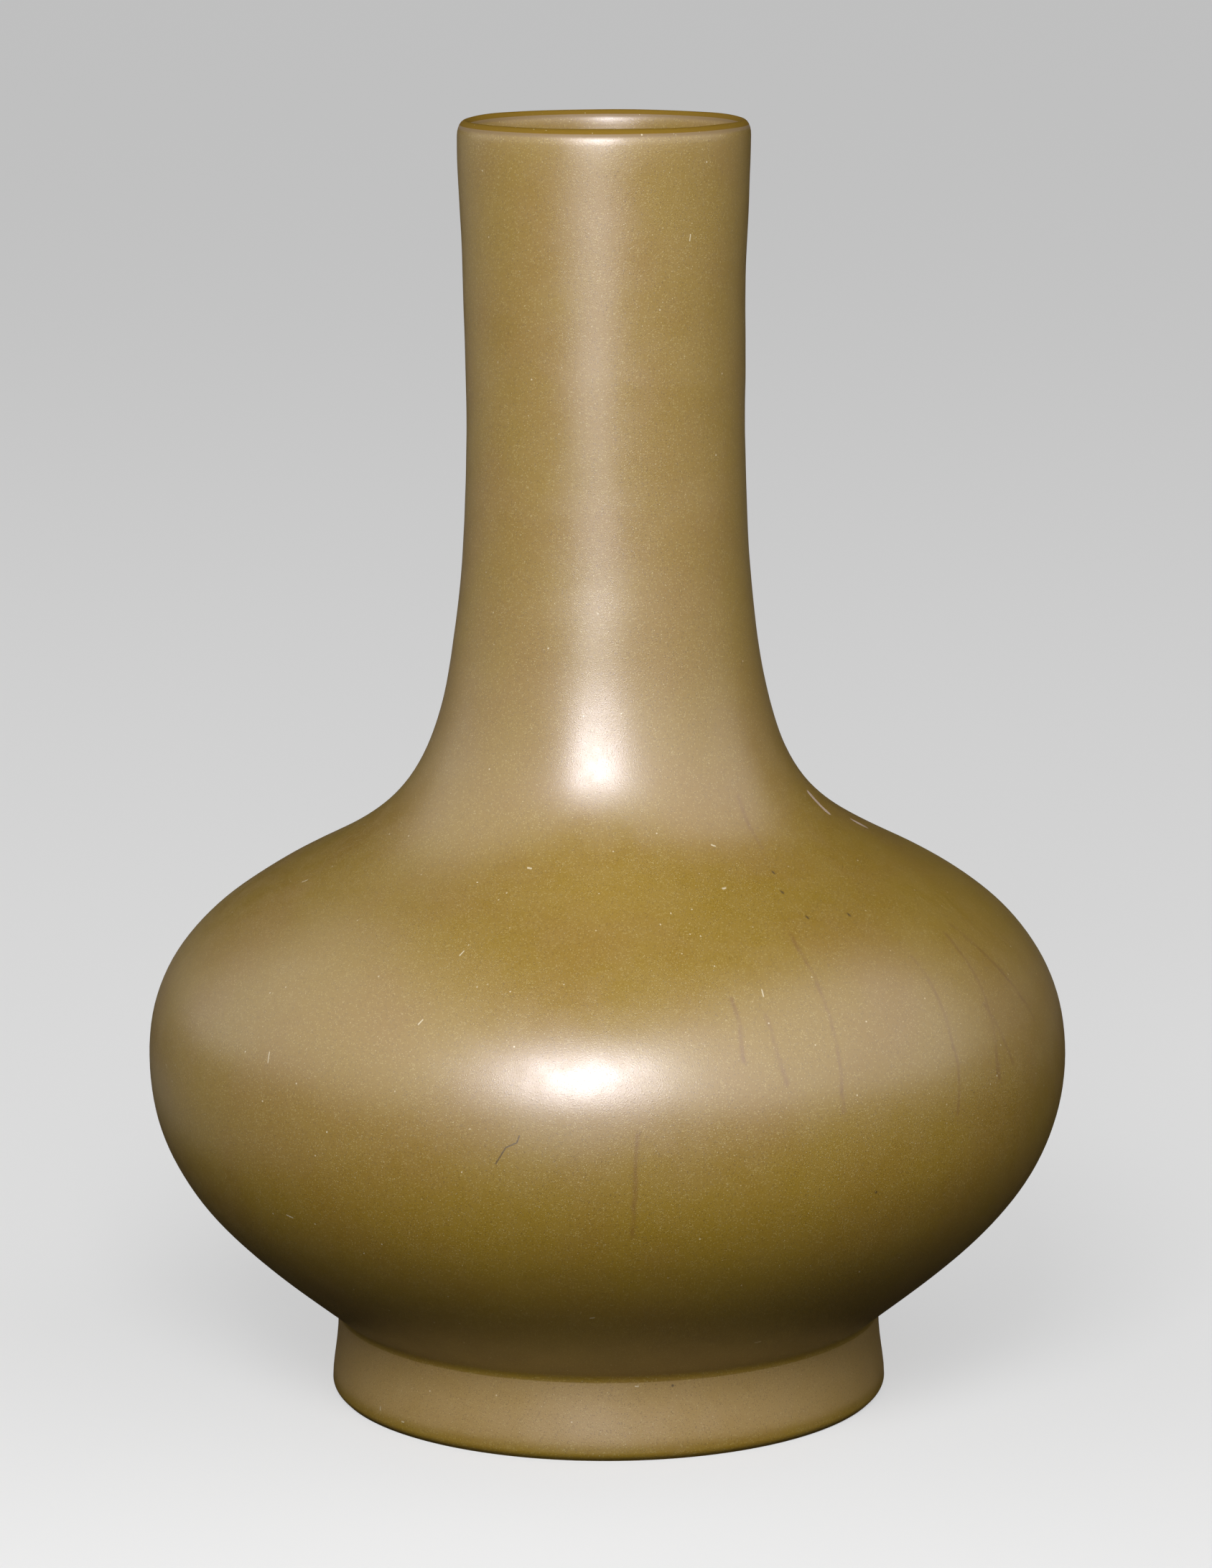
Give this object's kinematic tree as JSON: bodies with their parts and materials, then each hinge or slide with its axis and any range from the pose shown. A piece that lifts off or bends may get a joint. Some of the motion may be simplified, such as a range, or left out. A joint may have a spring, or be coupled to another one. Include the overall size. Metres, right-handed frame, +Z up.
{
  "type": "water chestnut vase",
  "caption": "Ceramic vase with a squat globular belly, a tall narrow neck with a slightly flared plain lip and a low ring foot, in a speckled olive-brown satin glaze.",
  "frame": {"origin": "centre of the foot ring on the surface that the vase stands on", "axes": "+Z up along the axis that every section is turned about; the vase is round, so +X and +Y are free, with the picture taken from the -Y side"},
  "size_m": [0.2372, 0.2372, 0.33],
  "materials": {
    "teadust_glaze": "satin",
    "fired_body": "matte"
  },
  "bodies": {
    "root": {"neck_section": "teadust_glaze", "shoulder_section": "teadust_glaze", "bowl_section": "teadust_glaze", "foot_ring": "teadust_glaze", "neck_luting_slip": "fired_body", "belly_luting_slip": "fired_body", "foot_luting_slip": "fired_body"}
  },
  "joints": []
}
